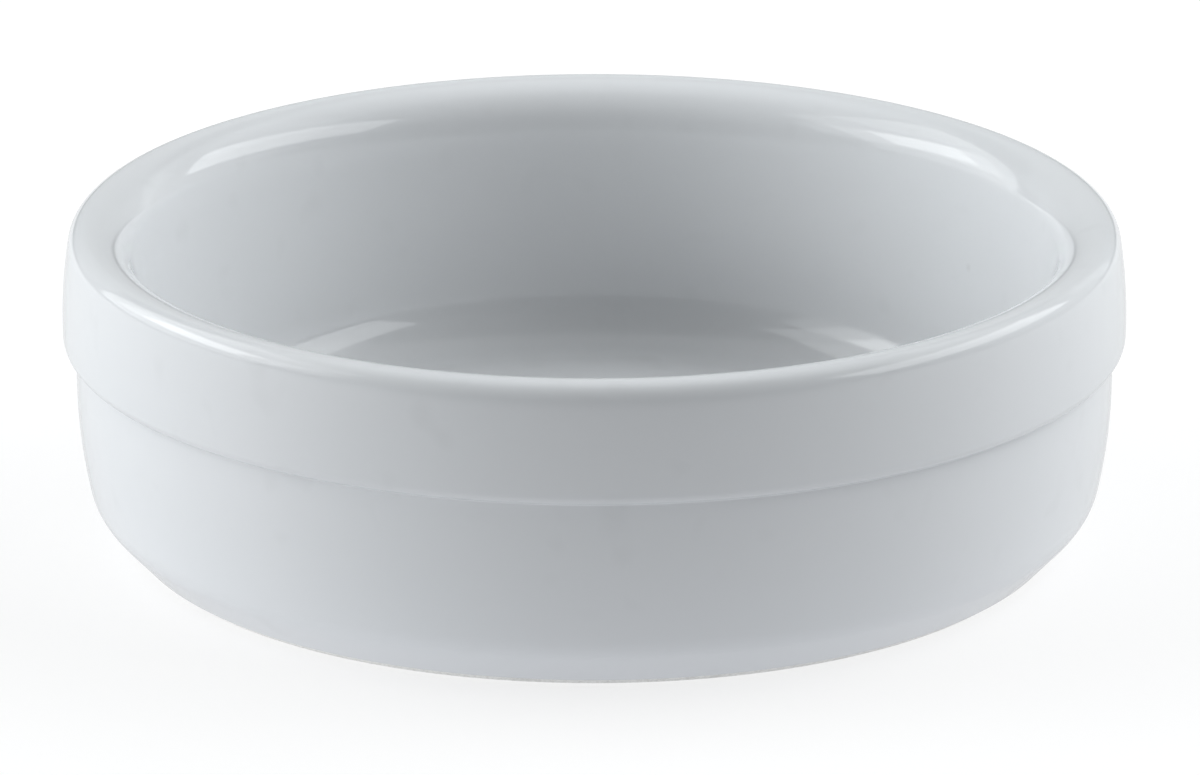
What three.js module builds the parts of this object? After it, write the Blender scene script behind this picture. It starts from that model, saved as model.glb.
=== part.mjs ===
// A round porcelain dish for creme brulee: a thick straight-sided pan with a collar round its mouth.
// It is one fired piece of white clay under a clear glaze, and it stands on a bare foot ring.
// Millimetres, +Z up, the origin at the middle of the foot ring on the plane that the dish stands on.
import * as THREE from "three";

// Collar and rim, measured on the finished glaze
const HEIGHT = 36.8;
const COLLAR_DIAMETER = 120; // at the belly of the collar, the widest place
const COLLAR_DEPTH = 13.5; // from the top of the rim down to the underside of the collar
const COLLAR_BELLY_DEPTH = 10.7; // from the top of the rim down to the belly
const COLLAR_BOW_RADIUS = 55; // the collar's face is slightly bowed
const COLLAR_STEP = 1.5; // how far the belly stands out from the wall
const COLLAR_EDGE_RADIUS = 1.2;
const CREASE_RADIUS = 0.4; // glaze gathers in the crease under the collar
const RIM_OUTER_RADIUS = 2.2;
const RIM_INNER_RADIUS = 5;

// Outside wall and heel
const WALL_BOW_RADIUS = 57.5; // the wall draws in a little towards the heel
const WALL_BELLY_HEIGHT = 19.2; // above this the wall is upright
const HEEL_RADIUS = 5.9;
const FOOT_FLARE = THREE.MathUtils.degToRad(43.2); // from the vertical, between foot and heel

// Inside
const MOUTH_DRAFT = THREE.MathUtils.degToRad(13); // from the vertical, where the rim's rounding ends
const MOUTH_RADIUS = 25; // eases the mouth into the straight inner wall
const INNER_DRAFT = THREE.MathUtils.degToRad(5); // from the vertical
const COVE_RADIUS = 7.6; // between the inner wall and the floor

// Foot ring and base
const FOOT_SETBACK = 6.75; // in from the wall to where the flare would meet the table
const FOOT_RING_WIDTH = 4.2;
const FOOT_EDGE_RADIUS = 0.7;
const BASE_THICKNESS = 4.5; // from the recess under the base up to the floor
const RECESS_DEPTH = 1.8;
const RECESS_DRAFT = THREE.MathUtils.degToRad(30); // from the vertical
const RECESS_COVE_RADIUS = 1;

// Glaze
const GLAZE_THICKNESS = 0.3;
const GLAZE_LINE = 0.9; // the foot is wiped bare up to this height
const BOND_GAP = 0.01; // keeps clay and glaze apart as solids

// Facets
const SEGMENTS = 48;
const CHORD_ERROR = 0.05;

// Points along an arc of the section, over angles from the outward direction. The steps depend on the
// finished radius alone, so that the same arc drawn deeper in the wall has its facets parallel to it.
function arc(centre, radius, shift, from, to) {
  const steps = Math.ceil(Math.abs(to - from) / (2 * Math.acos(1 - CHORD_ERROR / radius)));
  const drawn = radius + shift;
  return new THREE.EllipseCurve(
    centre.x, centre.y, drawn, drawn, from, to, to < from,
  ).getPoints(steps);
}

// Centre of an arc that touches a larger arc from the inside, at a given height.
function centreInside(large, radius, height) {
  const reach = large.radius - radius;
  const rise = height - large.centre.y;
  return new THREE.Vector2(large.centre.x + Math.sqrt(reach ** 2 - rise ** 2), height);
}

const angleTo = (from, to) => Math.atan2(to.y - from.y, to.x - from.x);
const point = (radius, height) => new THREE.Vector2(radius, height);
const UP = Math.PI / 2;
const INWARD = Math.PI;

// Section of the collar and rim: the bowed face, its rolled lower edge, and the two roundings of the rim
const collarRadius = COLLAR_DIAMETER / 2;
const collarBow = {
  radius: COLLAR_BOW_RADIUS,
  centre: point(collarRadius - COLLAR_BOW_RADIUS, HEIGHT - COLLAR_BELLY_DEPTH),
};
const edgeCentre = centreInside(
  collarBow, COLLAR_EDGE_RADIUS, HEIGHT - COLLAR_DEPTH + COLLAR_EDGE_RADIUS,
);
const rimOuterCentre = centreInside(collarBow, RIM_OUTER_RADIUS, HEIGHT - RIM_OUTER_RADIUS);
const rimInnerCentre = point(rimOuterCentre.x, HEIGHT - RIM_INNER_RADIUS);

// The crease: a hollow arc that touches the upright wall and the collar's lower edge
const wallRadius = collarRadius - COLLAR_STEP;
const creaseRadius = wallRadius + CREASE_RADIUS;
const creaseCentre = point(
  creaseRadius,
  edgeCentre.y - Math.sqrt((COLLAR_EDGE_RADIUS + CREASE_RADIUS) ** 2 - (creaseRadius - edgeCentre.x) ** 2),
);

// The flare: a straight cone up from the foot, which the heel rounds into the wall
const wallBow = {
  radius: WALL_BOW_RADIUS,
  centre: point(wallRadius - WALL_BOW_RADIUS, WALL_BELLY_HEIGHT),
};
const footCorner = point(wallRadius - FOOT_SETBACK, 0);
const flareAlong = point(Math.sin(FOOT_FLARE), Math.cos(FOOT_FLARE));
const flareOut = point(flareAlong.y, -flareAlong.x);
const heelStart = footCorner.clone().addScaledVector(flareOut, -HEEL_RADIUS);
const fromBow = heelStart.clone().sub(wallBow.centre);
const back = fromBow.dot(flareAlong);
const heelCentre = heelStart.clone().addScaledVector(
  flareAlong,
  Math.sqrt(back ** 2 - fromBow.lengthSq() + (WALL_BOW_RADIUS - HEEL_RADIUS) ** 2) - back,
);

// The mouth: a flat arc that takes over from the rim's inner rounding and ends in the straight wall
const mouthCentre = point(-Math.cos(MOUTH_DRAFT), Math.sin(MOUTH_DRAFT))
  .multiplyScalar(RIM_INNER_RADIUS - MOUTH_RADIUS)
  .add(rimInnerCentre);

// The cove: a hollow arc that touches the inner wall and the floor
const floorHeight = RECESS_DEPTH + BASE_THICKNESS;
const coveHeight = floorHeight + COVE_RADIUS;
const coveCentre = point(
  mouthCentre.x
    - (MOUTH_RADIUS + COVE_RADIUS) / Math.cos(INNER_DRAFT)
    - (mouthCentre.y - coveHeight) * Math.tan(INNER_DRAFT),
  coveHeight,
);

// The glazed surface, or one that lies deeper by the inset: from the glaze line over the rim to the
// middle of the floor.
function dishOutline(inset) {
  const lineStart = footCorner.clone()
    .addScaledVector(flareAlong, GLAZE_LINE / flareAlong.y)
    .addScaledVector(flareOut, -inset);
  const heelTurn = angleTo(wallBow.centre, heelCentre);
  const creaseTurn = angleTo(edgeCentre, creaseCentre);
  const edgeTurn = angleTo(collarBow.centre, edgeCentre);
  const rimTurn = angleTo(collarBow.centre, rimOuterCentre);
  return [
    lineStart,
    ...arc(heelCentre, HEEL_RADIUS, -inset, -FOOT_FLARE, heelTurn),
    ...arc(wallBow.centre, WALL_BOW_RADIUS, -inset, heelTurn, 0).slice(1),
    ...arc(creaseCentre, CREASE_RADIUS, inset, INWARD, creaseTurn + Math.PI),
    ...arc(edgeCentre, COLLAR_EDGE_RADIUS, -inset, creaseTurn, edgeTurn).slice(1),
    ...arc(collarBow.centre, COLLAR_BOW_RADIUS, -inset, edgeTurn, 0).slice(1),
    ...arc(collarBow.centre, COLLAR_BOW_RADIUS, -inset, 0, rimTurn).slice(1),
    ...arc(rimOuterCentre, RIM_OUTER_RADIUS, -inset, rimTurn, UP).slice(1),
    ...arc(rimInnerCentre, RIM_INNER_RADIUS, -inset, UP, INWARD - MOUTH_DRAFT).slice(1),
    ...arc(mouthCentre, MOUTH_RADIUS, -inset, INWARD - MOUTH_DRAFT, INWARD - INNER_DRAFT).slice(1),
    ...arc(coveCentre, COVE_RADIUS, inset, -INNER_DRAFT, -UP),
    point(0, floorHeight - inset),
  ];
}

// The recess under the base, or a surface that lies deeper by the inset: from the axis to the glaze line
// on the inner side of the foot ring.
const recessCorner = point(footCorner.x - FOOT_RING_WIDTH, 0);
const recessAlong = point(-Math.sin(RECESS_DRAFT), Math.cos(RECESS_DRAFT));
const recessOut = point(-recessAlong.y, recessAlong.x);
const recessCoveHeight = RECESS_DEPTH - RECESS_COVE_RADIUS;
const recessCoveCentre = point(
  recessCorner.x - RECESS_COVE_RADIUS / Math.cos(RECESS_DRAFT) - recessCoveHeight * Math.tan(RECESS_DRAFT),
  recessCoveHeight,
);
function recessOutline(inset) {
  const lineEnd = recessCorner.clone()
    .addScaledVector(recessAlong, GLAZE_LINE / recessAlong.y)
    .addScaledVector(recessOut, -inset);
  return [
    point(0, RECESS_DEPTH + inset),
    ...arc(recessCoveCentre, RECESS_COVE_RADIUS, inset, UP, RECESS_DRAFT),
    lineEnd,
  ];
}

// The bare foot between the two glaze lines: two rounded corners on the plane of the table.
function footOutline(inset) {
  const innerCorner = recessCorner.x + inset / recessAlong.y;
  const outerCorner = footCorner.x - inset / flareAlong.y;
  const innerSetback = FOOT_EDGE_RADIUS * Math.tan((UP - RECESS_DRAFT) / 2);
  const outerSetback = FOOT_EDGE_RADIUS * Math.tan((UP - FOOT_FLARE) / 2);
  return [
    ...arc(
      point(innerCorner + innerSetback, FOOT_EDGE_RADIUS), FOOT_EDGE_RADIUS, 0, RECESS_DRAFT - Math.PI, -UP,
    ),
    ...arc(
      point(outerCorner - outerSetback, FOOT_EDGE_RADIUS), FOOT_EDGE_RADIUS, 0, -UP, -FOOT_FLARE,
    ),
  ];
}

const clay = new THREE.MeshStandardMaterial({ color: 0xe6e3dc, roughness: 0.8, metalness: 0 });
const glaze = new THREE.MeshStandardMaterial({ color: 0xe9eef1, roughness: 0.08, metalness: 0 });

const dish = new THREE.Group();
function turned(name, section, material) {
  const mesh = new THREE.Mesh(new THREE.LatheGeometry(section, SEGMENTS), material.clone());
  mesh.name = name;
  mesh.rotation.x = UP;
  dish.add(mesh);
}

// Porcelain body, pressed and fired in one piece with its collar and foot ring
const clayInset = GLAZE_THICKNESS + BOND_GAP;
turned(
  "porcelain_body",
  [...recessOutline(clayInset), ...footOutline(clayInset), ...dishOutline(clayInset)],
  clay,
);

// Glaze over the inside, the rim and the outside, down to the glaze line
turned("outer_glaze", [...dishOutline(GLAZE_THICKNESS).reverse(), ...dishOutline(0)], glaze);

// Glaze in the recess, cut off from the rest by the bare foot ring
turned("base_glaze", [...recessOutline(0), ...recessOutline(GLAZE_THICKNESS).reverse()], glaze);

export default dish;
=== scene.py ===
# A round creme brulee dish of white porcelain, standing on a pale studio floor.
import math

import bmesh
import bpy
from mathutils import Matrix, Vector


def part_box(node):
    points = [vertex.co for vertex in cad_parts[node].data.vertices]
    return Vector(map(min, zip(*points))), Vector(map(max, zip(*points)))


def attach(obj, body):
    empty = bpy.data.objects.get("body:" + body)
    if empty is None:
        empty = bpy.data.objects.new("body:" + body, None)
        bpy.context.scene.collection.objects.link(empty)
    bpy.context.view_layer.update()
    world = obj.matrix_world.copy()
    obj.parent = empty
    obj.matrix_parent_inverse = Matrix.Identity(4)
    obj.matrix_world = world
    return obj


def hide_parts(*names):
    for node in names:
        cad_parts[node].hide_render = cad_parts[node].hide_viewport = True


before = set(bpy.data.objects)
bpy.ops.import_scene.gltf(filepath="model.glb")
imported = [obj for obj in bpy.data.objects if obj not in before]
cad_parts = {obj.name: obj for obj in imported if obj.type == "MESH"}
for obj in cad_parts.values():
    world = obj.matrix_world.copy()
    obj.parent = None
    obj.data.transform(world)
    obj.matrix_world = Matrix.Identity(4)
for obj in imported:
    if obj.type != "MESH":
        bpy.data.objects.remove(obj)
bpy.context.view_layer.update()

# Porcelain body
# White clay, pressed to shape and fired hard in one piece with its collar, rim and foot ring. Only the
# foot ring stays bare: it is wiped before the firing, so that the glaze doesn't stick to the kiln shelf.
MM = 0.001
collar_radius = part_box("outer_glaze")[1].x
rim_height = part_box("outer_glaze")[1].z
collar_depth = 13.5 * MM
collar_belly_depth = 10.7 * MM
collar_bow_radius = 55 * MM
collar_step = 1.5 * MM
collar_edge_radius = 1.2 * MM
crease_radius = 0.4 * MM
rim_outer_radius = 2.2 * MM
rim_inner_radius = 5 * MM
wall_bow_radius = 57.5 * MM
wall_belly_height = 19.2 * MM
heel_radius = 5.9 * MM
foot_flare = math.radians(43.2)
foot_setback = 6.75 * MM
mouth_draft = math.radians(13)
mouth_radius = 25 * MM
inner_draft = math.radians(5)
cove_radius = 7.6 * MM
foot_ring_width = 4.2 * MM
foot_edge_radius = 0.7 * MM
base_thickness = 4.5 * MM
recess_depth = 1.8 * MM
recess_draft = math.radians(30)
recess_cove_radius = 1 * MM
glaze_thickness = 0.3 * MM
glaze_line = 0.9 * MM
bond_gap = 0.01 * MM
UP = math.pi / 2
INWARD = math.pi
spin_steps = 256
arc_step = math.radians(4)


def at(radius, height):
    """A point of the section, which is drawn in the XZ plane."""
    return Vector((radius, 0, height))


def on_circle(centre, radius, angle):
    return centre + radius * at(math.cos(angle), math.sin(angle))


def turn_to(centre, other):
    return math.atan2(other.z - centre.z, other.x - centre.x)


def touching_inside(bow_centre, bow_radius, radius, height):
    """The centre of an arc that touches a larger bow from the inside."""
    reach = math.sqrt((bow_radius - radius) ** 2 - (height - bow_centre.z) ** 2)
    return at(bow_centre.x + reach, height)


def line(bm, end, place):
    """Draws the section on to a place with a straight line, and gives its new end."""
    new_end = bmesh.ops.extrude_vert_indiv(bm, verts=[end])["verts"][0]
    new_end.co = place
    return new_end


def arc(bm, end, centre, turn, least_steps=2):
    """Draws the section on with an arc about a centre, positive to the left, and gives its new end."""
    steps = max(least_steps, math.ceil(abs(turn) / arc_step))
    swept = bmesh.ops.spin(bm, geom=[end], cent=centre, axis=(0, -1, 0), angle=turn, steps=steps)
    return swept["geom_last"][0]


bow_centre = at(collar_radius - collar_bow_radius, rim_height - collar_belly_depth)
edge_height = rim_height - collar_depth + collar_edge_radius
edge_centre = touching_inside(bow_centre, collar_bow_radius, collar_edge_radius, edge_height)
rim_outer_height = rim_height - rim_outer_radius
rim_outer_centre = touching_inside(bow_centre, collar_bow_radius, rim_outer_radius, rim_outer_height)
rim_inner_centre = at(rim_outer_centre.x, rim_height - rim_inner_radius)

wall_radius = collar_radius - collar_step
crease_x = wall_radius + crease_radius
crease_drop = math.sqrt((collar_edge_radius + crease_radius) ** 2 - (crease_x - edge_centre.x) ** 2)
crease_centre = at(crease_x, edge_centre.z - crease_drop)

wall_centre = at(wall_radius - wall_bow_radius, wall_belly_height)
foot_corner = at(wall_radius - foot_setback, 0)
flare_along = at(math.sin(foot_flare), math.cos(foot_flare))
flare_out = at(math.cos(foot_flare), -math.sin(foot_flare))
heel_start = foot_corner - heel_radius * flare_out
from_bow = heel_start - wall_centre
back = from_bow.dot(flare_along)
heel_reach = math.sqrt(back**2 - from_bow.length_squared + (wall_bow_radius - heel_radius) ** 2) - back
heel_centre = heel_start + heel_reach * flare_along

mouth_centre = on_circle(rim_inner_centre, rim_inner_radius - mouth_radius, INWARD - mouth_draft)
floor_height = recess_depth + base_thickness
cove_height = floor_height + cove_radius
cove_x = (
    mouth_centre.x
    - (mouth_radius + cove_radius) / math.cos(inner_draft)
    - (mouth_centre.z - cove_height) * math.tan(inner_draft)
)
cove_centre = at(cove_x, cove_height)

recess_corner = foot_corner - at(foot_ring_width, 0)
recess_along = at(-math.sin(recess_draft), math.cos(recess_draft))
recess_out = at(-math.cos(recess_draft), -math.sin(recess_draft))
recess_cove_height = recess_depth - recess_cove_radius
recess_cove_x = (
    recess_corner.x
    - recess_cove_radius / math.cos(recess_draft)
    - recess_cove_height * math.tan(recess_draft)
)
recess_cove_centre = at(recess_cove_x, recess_cove_height)


def glaze_line_outside(inset):
    return foot_corner + flare_along * (glaze_line / flare_along.z) - inset * flare_out


def glaze_line_recess(inset):
    return recess_corner + recess_along * (glaze_line / recess_along.z) - inset * recess_out


def draw_dish(bm, start, inset):
    """Draws the glazed surface, or one that lies deeper by the inset, from the glaze line over the rim
    to the middle of the floor."""
    heel_turn = turn_to(wall_centre, heel_centre)
    crease_turn = turn_to(edge_centre, crease_centre)
    edge_turn = turn_to(bow_centre, edge_centre)
    rim_turn = turn_to(bow_centre, rim_outer_centre)
    end = line(bm, start, on_circle(heel_centre, heel_radius - inset, -foot_flare))
    end = arc(bm, end, heel_centre, heel_turn + foot_flare)
    end = arc(bm, end, wall_centre, -heel_turn, least_steps=8)
    end = line(bm, end, at(wall_radius - inset, crease_centre.z))
    end = arc(bm, end, crease_centre, crease_turn, least_steps=8)
    end = arc(bm, end, edge_centre, edge_turn - crease_turn)
    end = arc(bm, end, bow_centre, rim_turn - edge_turn, least_steps=12)
    end = arc(bm, end, rim_outer_centre, UP - rim_turn)
    end = arc(bm, end, rim_inner_centre, UP - mouth_draft)
    end = arc(bm, end, mouth_centre, mouth_draft - inner_draft, least_steps=6)
    end = line(bm, end, on_circle(cove_centre, cove_radius + inset, -inner_draft))
    end = arc(bm, end, cove_centre, inner_draft - UP)
    return line(bm, end, at(0, floor_height - inset))


def draw_recess(bm, start, inset):
    """Draws the recess under the base, from the axis out to the glaze line on the foot ring."""
    end = line(bm, start, on_circle(recess_cove_centre, recess_cove_radius + inset, UP))
    end = arc(bm, end, recess_cove_centre, recess_draft - UP)
    return line(bm, end, glaze_line_recess(inset))


def turned_piece(name, bm):
    """Turns a section about the dish's axis into a closed, smooth mesh object."""
    bmesh.ops.spin(
        bm, geom=bm.verts[:] + bm.edges[:], cent=(0, 0, 0), axis=(0, 0, 1),
        angle=2 * math.pi, steps=spin_steps, use_merge=True,
    )
    bmesh.ops.remove_doubles(bm, verts=bm.verts[:], dist=0.001 * MM)
    bmesh.ops.recalc_face_normals(bm, faces=bm.faces[:])
    mesh = bpy.data.meshes.new(name)
    bm.to_mesh(mesh)
    bm.free()
    mesh.shade_smooth()
    piece = bpy.data.objects.new(name, mesh)
    bpy.context.scene.collection.objects.link(piece)
    return piece


clay_inset = glaze_thickness + bond_gap
bm = bmesh.new()
end = draw_recess(bm, bm.verts.new(at(0, recess_depth + clay_inset)), clay_inset)
foot_inner_x = (
    recess_corner.x
    + clay_inset / math.cos(recess_draft)
    + foot_edge_radius * math.tan((UP - recess_draft) / 2)
)
foot_outer_x = (
    foot_corner.x
    - clay_inset / math.cos(foot_flare)
    - foot_edge_radius * math.tan((UP - foot_flare) / 2)
)
foot_inner_centre = at(foot_inner_x, foot_edge_radius)
foot_outer_centre = at(foot_outer_x, foot_edge_radius)
end = line(bm, end, on_circle(foot_inner_centre, foot_edge_radius, recess_draft - math.pi))
end = arc(bm, end, foot_inner_centre, UP - recess_draft)
end = line(bm, end, at(foot_outer_x, 0))
end = arc(bm, end, foot_outer_centre, UP - foot_flare)
end = line(bm, end, glaze_line_outside(clay_inset))
draw_dish(bm, end, clay_inset)
porcelain_body = turned_piece("porcelain", bm)


def linear(colour):
    """An sRGB hex colour as the linear one that a shader takes."""
    parts = [int(colour[i:i + 2], 16) / 255 for i in (1, 3, 5)]
    return [c / 12.92 if c <= 0.04045 else ((c + 0.055) / 1.055) ** 2.4 for c in parts] + [1]


def node(tree, kind, links=None, **settings):
    """Adds a node with its settings. Links name an input, by name or number, and give its value or source."""
    made = tree.nodes.new(kind)
    for name, value in settings.items():
        setattr(made, name, value)
    for name, value in (links or {}).items():
        if isinstance(value, bpy.types.NodeSocket):
            tree.links.new(value, made.inputs[name])
        else:
            made.inputs[name].default_value = value
    return made


def new_material(name):
    material = bpy.data.materials.new(name)
    material.use_nodes = True
    material.node_tree.nodes.clear()
    return material, material.node_tree


# Fired porcelain without glaze: matt and a little warm beside the glaze, with a fine grit, drawn coarser than
# the real one so that it shows as a grain, and grey scuffs where the ring has slid on tables and shelves.
grit_size = 0.35 * MM
grit_height = 0.05 * MM
scuff_size = 5 * MM
bare_clay, tree = new_material("fired_porcelain")
place = node(tree, "ShaderNodeTexCoord").outputs["Object"]
grit = node(tree, "ShaderNodeTexNoise", {"Vector": place, "Scale": 1 / grit_size, "Detail": 2})
scuffs = node(tree, "ShaderNodeTexNoise", {"Vector": place, "Scale": 1 / scuff_size, "Detail": 5})
clay_colour = node(tree, "ShaderNodeValToRGB", {"Fac": grit.outputs["Fac"]})
clay_colour.color_ramp.elements[0].position = 0.3
clay_colour.color_ramp.elements[0].color = linear("#D5D3CF")
clay_colour.color_ramp.elements[1].position = 0.6
clay_colour.color_ramp.elements[1].color = linear("#E5E4E0")
scuffed = node(tree, "ShaderNodeMapRange", {
    "Value": scuffs.outputs["Fac"], "From Min": 0.55, "From Max": 0.75, "To Max": 0.35,
})
worn_colour = node(tree, "ShaderNodeMix", {
    "Factor": scuffed.outputs["Result"], "A": clay_colour.outputs["Color"], "B": linear("#A9A8A4"),
}, data_type="RGBA")
grain = node(tree, "ShaderNodeBump", {
    "Height": grit.outputs["Fac"], "Strength": 0.5, "Distance": grit_height,
})
clay = node(tree, "ShaderNodeBsdfPrincipled", {
    "Base Color": worn_colour.outputs["Result"], "Roughness": 0.75, "Normal": grain.outputs["Normal"],
})
node(tree, "ShaderNodeOutputMaterial", {"Surface": clay.outputs["BSDF"]})
porcelain_body.data.materials.append(bare_clay)
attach(porcelain_body, "root")
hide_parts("porcelain_body")

# Outer glaze
# A clear, glassy coat of about a third of a millimetre, dipped on and melted to the clay in the firing.
# It covers the inside, the rim and the outside, gathers in the crease, and ends in a round lip on the foot.
bm = bmesh.new()
deep_start = bm.verts.new(glaze_line_outside(glaze_thickness))
draw_dish(bm, deep_start, glaze_thickness)
lip_end = arc(bm, deep_start, glaze_line_outside(glaze_thickness / 2), math.pi, least_steps=8)
draw_dish(bm, lip_end, 0)
outer_glaze = turned_piece("glaze", bm)

# Clear glaze over white clay: the clay gives the colour and the glaze a sharp, even shine. The surface
# isn't dead flat: it swells and dips slowly from the dipping, and has faint smudges and specks of ash.
swell_size = 28 * MM
swell_height = 0.3 * MM
peel_size = 4 * MM
peel_height = 0.01 * MM
smudge_size = 5 * MM
speck_spacing = 26 * MM
speck_radius = 0.6 * MM
ash_grey = linear("#8E8F8C")
glazed, tree = new_material("clear_glaze_on_porcelain")
place = node(tree, "ShaderNodeTexCoord").outputs["Object"]
swell = node(tree, "ShaderNodeTexNoise", {"Vector": place, "Scale": 1 / swell_size, "Detail": 1})
peel = node(tree, "ShaderNodeTexNoise", {"Vector": place, "Scale": 1 / peel_size, "Detail": 1})
tone = node(tree, "ShaderNodeMix", {
    "Factor": swell.outputs["Fac"], "A": linear("#D6D8DA"), "B": linear("#D9DADC"),
}, data_type="RGBA")
smudges = node(tree, "ShaderNodeTexNoise", {"Vector": place, "Scale": 1 / smudge_size, "Detail": 1})
smudge = node(tree, "ShaderNodeMapRange", {
    "Value": smudges.outputs["Fac"], "From Min": 0.64, "From Max": 0.8, "To Max": 0.05,
})
smudged = node(tree, "ShaderNodeMix", {
    "Factor": smudge.outputs["Result"], "A": tone.outputs["Result"], "B": ash_grey,
}, data_type="RGBA")
specks = node(tree, "ShaderNodeTexVoronoi", {"Vector": place, "Scale": 1 / speck_spacing})
speck = node(tree, "ShaderNodeMapRange", {
    "Value": specks.outputs["Distance"],
    "From Max": speck_radius / speck_spacing, "To Min": 0.15, "To Max": 0,
})
speckled = node(tree, "ShaderNodeMix", {
    "Factor": speck.outputs["Result"], "A": smudged.outputs["Result"], "B": ash_grey,
}, data_type="RGBA")
swelling = node(tree, "ShaderNodeBump", {
    "Height": swell.outputs["Fac"], "Strength": 0.4, "Distance": swell_height,
})
peeling = node(tree, "ShaderNodeBump", {
    "Height": peel.outputs["Fac"], "Strength": 0.3, "Distance": peel_height,
    "Normal": swelling.outputs["Normal"],
})
sheen = node(tree, "ShaderNodeMapRange", {
    "Value": peel.outputs["Fac"], "To Min": 0.05, "To Max": 0.09,
})
gloss = node(tree, "ShaderNodeBsdfPrincipled", {
    "Base Color": speckled.outputs["Result"], "Roughness": sheen.outputs["Result"], "IOR": 1.5,
    "Normal": peeling.outputs["Normal"],
})
node(tree, "ShaderNodeOutputMaterial", {"Surface": gloss.outputs["BSDF"]})
outer_glaze.data.materials.append(glazed)
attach(outer_glaze, "root")
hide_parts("outer_glaze")

# Base glaze
# The same coat in the shallow recess under the base. The bare foot ring parts it from the outer glaze,
# and its edge is a round lip too.
bm = bmesh.new()
recess_end = draw_recess(bm, bm.verts.new(at(0, recess_depth)), 0)
lip_end = arc(bm, recess_end, glaze_line_recess(glaze_thickness / 2), math.pi, least_steps=8)
draw_recess(bm, bm.verts.new(at(0, recess_depth + glaze_thickness)), glaze_thickness)
base_glaze = turned_piece("glaze_under_base", bm)
base_glaze.data.materials.append(glazed)
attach(base_glaze, "root")
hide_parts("base_glaze")

# Floor
# A sheet of white acrylic with a painted glow: a pool of light painted round the dish, fading farther out. It
# throws light up under the heel, and the dish's soft shadow lies on it.
floor_radius = 9
bm = bmesh.new()
bmesh.ops.create_circle(bm, cap_ends=True, segments=96, radius=floor_radius)
floor_mesh = bpy.data.meshes.new("floor")
bm.to_mesh(floor_mesh)
bm.free()
floor = bpy.data.objects.new("floor", floor_mesh)
bpy.context.scene.collection.objects.link(floor)

# White acrylic: it scatters the lamps' light without a shine. With that light the camera sees it as a white
# background, and the glaze shows it as a painted reflection, a little greyer. The dish itself is lit from below
# by a painted glow, a pool of light painted round the dish that fades farther out.
shown_to_camera = 0.73
painted_reflection_level = 0.48
painted_glow_near_dish = 0.71
painted_glow_far_out = 0.38
glow_fades_from = 60 * MM
glow_fades_to = 120 * MM
acrylic, tree = new_material("white_acrylic")
scattered = node(tree, "ShaderNodeBsdfDiffuse", {"Color": linear("#8C8C8C")})
path = node(tree, "ShaderNodeLightPath").outputs
looked_at = node(tree, "ShaderNodeMath", {
    0: path["Is Camera Ray"], 1: path["Is Transmission Ray"],
}, operation="MAXIMUM")
seen = node(tree, "ShaderNodeMath", {
    0: looked_at.outputs["Value"], 1: path["Is Glossy Ray"],
}, operation="MAXIMUM")
# Painted reflection: the glaze sees the sheet greyer than the camera does.
shown = node(tree, "ShaderNodeMix", {
    "Factor": path["Is Glossy Ray"], "A": shown_to_camera, "B": painted_reflection_level,
})
tint = node(tree, "ShaderNodeMix", {
    "Factor": seen.outputs["Value"], "A": linear("#F7FAFF"), "B": linear("#FFFFFF"),
}, data_type="RGBA")
reach = node(tree, "ShaderNodeVectorMath", {
    0: node(tree, "ShaderNodeTexCoord").outputs["Object"],
}, operation="LENGTH")
# Painted pool of light: the glow is strongest round the dish and fades farther out, lighting the dish from
# below.
painted_pool_of_light = node(tree, "ShaderNodeMapRange", {
    "Value": reach.outputs["Value"],
    "From Min": glow_fades_from, "From Max": glow_fades_to, "To Min": painted_glow_near_dish, "To Max": painted_glow_far_out,
})
level = node(tree, "ShaderNodeMix", {
    "Factor": seen.outputs["Value"], "A": painted_pool_of_light.outputs["Result"], "B": shown.outputs["Result"],
})
glow = node(tree, "ShaderNodeEmission", {
    "Color": tint.outputs["Result"], "Strength": level.outputs["Result"],
})
sheet = node(tree, "ShaderNodeAddShader", {0: scattered.outputs["BSDF"], 1: glow.outputs["Emission"]})
node(tree, "ShaderNodeOutputMaterial", {"Surface": sheet.outputs["Shader"]})
floor.data.materials.append(acrylic)

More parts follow.
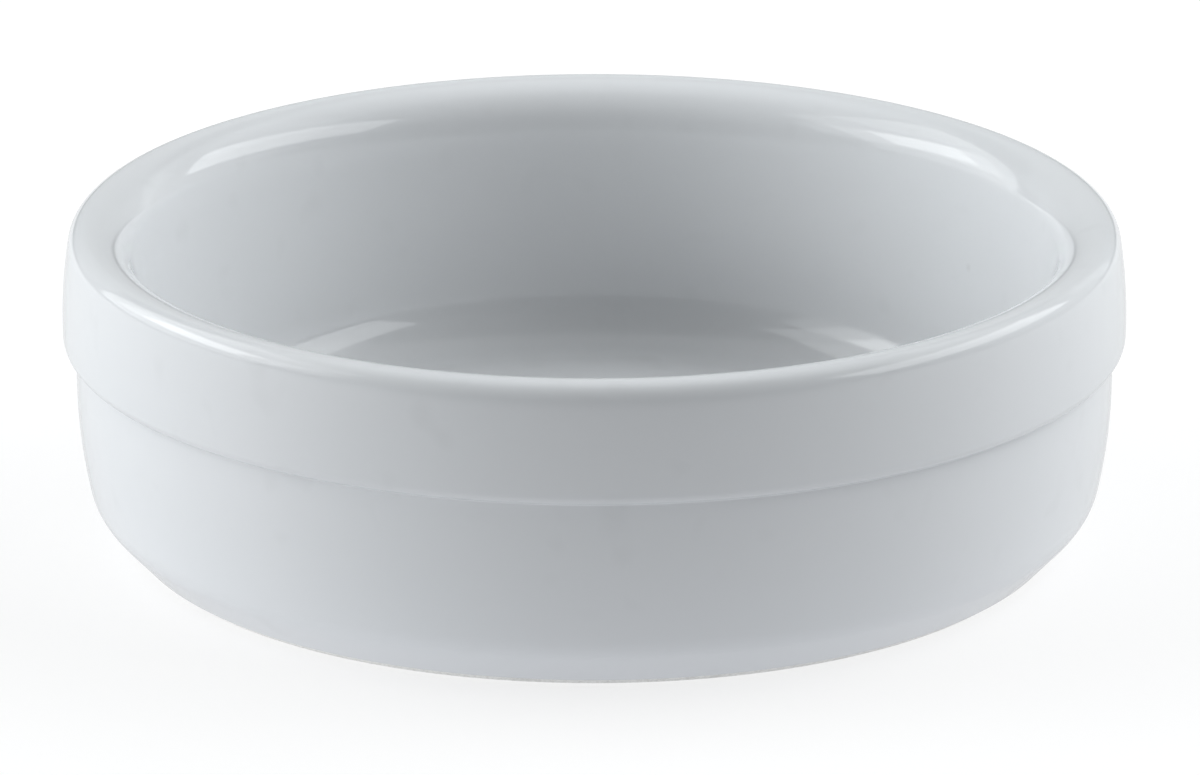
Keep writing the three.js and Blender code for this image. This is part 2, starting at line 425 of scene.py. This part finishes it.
# Light
# On each side a soft box stands before a pale screen, the left one with a lamp in it. They, a faint backdrop
# and a pale ceiling show in the glaze as its highlights. The fills light the dish without being mirrored in it,
# and the room is nearly dark. Angles are in degrees, lengths in metres and powers in watts.
for name, azimuth, elevation, distance, width, tall, power, mirrored in (
    ("left_lamp", 170, 31, 0.85, 0.44, 0.24, 0.9, True),
    ("left_soft_box", 178, 30, 0.85, 1.0, 0.32, 1.2, True),
    ("left_screen", 168, 32, 1.0, 1.1, 0.95, 4.9, True),
    ("right_soft_box", 4, 35, 0.85, 0.98, 0.34, 2.5, True),
    ("right_screen", 28, 30, 1.0, 1.1, 0.95, 1.4, True),
    ("backdrop", 90, 20, 1.2, 2.0, 0.6, 1.1, True),
    ("ceiling", 90, 70, 1.1, 2.6, 0.9, 3.2, True),
    ("left_fill", 200, 10, 1.0, 1.0, 0.3, 4.0, False),
    ("right_fill", 15, 35, 1.0, 1.6, 1.1, 6.7, False),
    ("low_right_fill", 350, 8, 1.0, 1.0, 0.3, 0.95, False),
    ("ceiling_fill", 90, 70, 1.0, 2.4, 0.8, 3.3, False),
):
    lamp = bpy.data.lights.new(name, "AREA")
    lamp.shape = "RECTANGLE"
    lamp.size = width
    lamp.size_y = tall
    lamp.energy = power
    lamp.color = linear("#FAFDFE")[:3]
    panel = bpy.data.objects.new(name, lamp)
    turn = math.radians(azimuth)
    lift = math.radians(elevation)
    away = Vector((math.cos(turn) * math.cos(lift), math.sin(turn) * math.cos(lift), math.sin(lift)))
    panel.location = distance * away
    panel.rotation_euler = away.to_track_quat("Z", "Y").to_euler()
    panel.visible_camera = False
    panel.visible_glossy = mirrored
    bpy.context.scene.collection.objects.link(panel)
world = bpy.data.worlds.new("dark_room")
world.use_nodes = True
room = world.node_tree.nodes["Background"].inputs
room["Color"].default_value = linear("#DDE6F0")
room["Strength"].default_value = 0.02
bpy.context.scene.world = world

# Camera
# A long lens from about twenty collar radii away, 18 degrees above the table, so the ellipses of rim and
# foot are nearly alike. The dish's axis lies a little left of the middle of the picture.
photo_width = 1200
photo_height = 775
axis_column = 594.5
middle_row = 379.1
middle_height = 18 * MM
collar_radius_pixels = 530
pixels_per_metre = collar_radius_pixels / collar_radius
camera_distance = 1.2
camera_elevation = math.radians(18.4)
lens = bpy.data.cameras.new("camera")
lens.sensor_width = 36
lens.lens = lens.sensor_width * pixels_per_metre * camera_distance / photo_width
aim = Vector((
    (photo_width / 2 - axis_column) / pixels_per_metre,
    0,
    middle_height + (middle_row - photo_height / 2) / pixels_per_metre / math.cos(camera_elevation),
))
towards_camera = Vector((0, -math.cos(camera_elevation), math.sin(camera_elevation)))
camera = bpy.data.objects.new("camera", lens)
camera.location = aim + camera_distance * towards_camera
camera.rotation_euler = (math.pi / 2 - camera_elevation, 0, 0)
bpy.context.scene.collection.objects.link(camera)
bpy.context.scene.camera = camera
bpy.context.scene.view_settings.view_transform = "Standard"
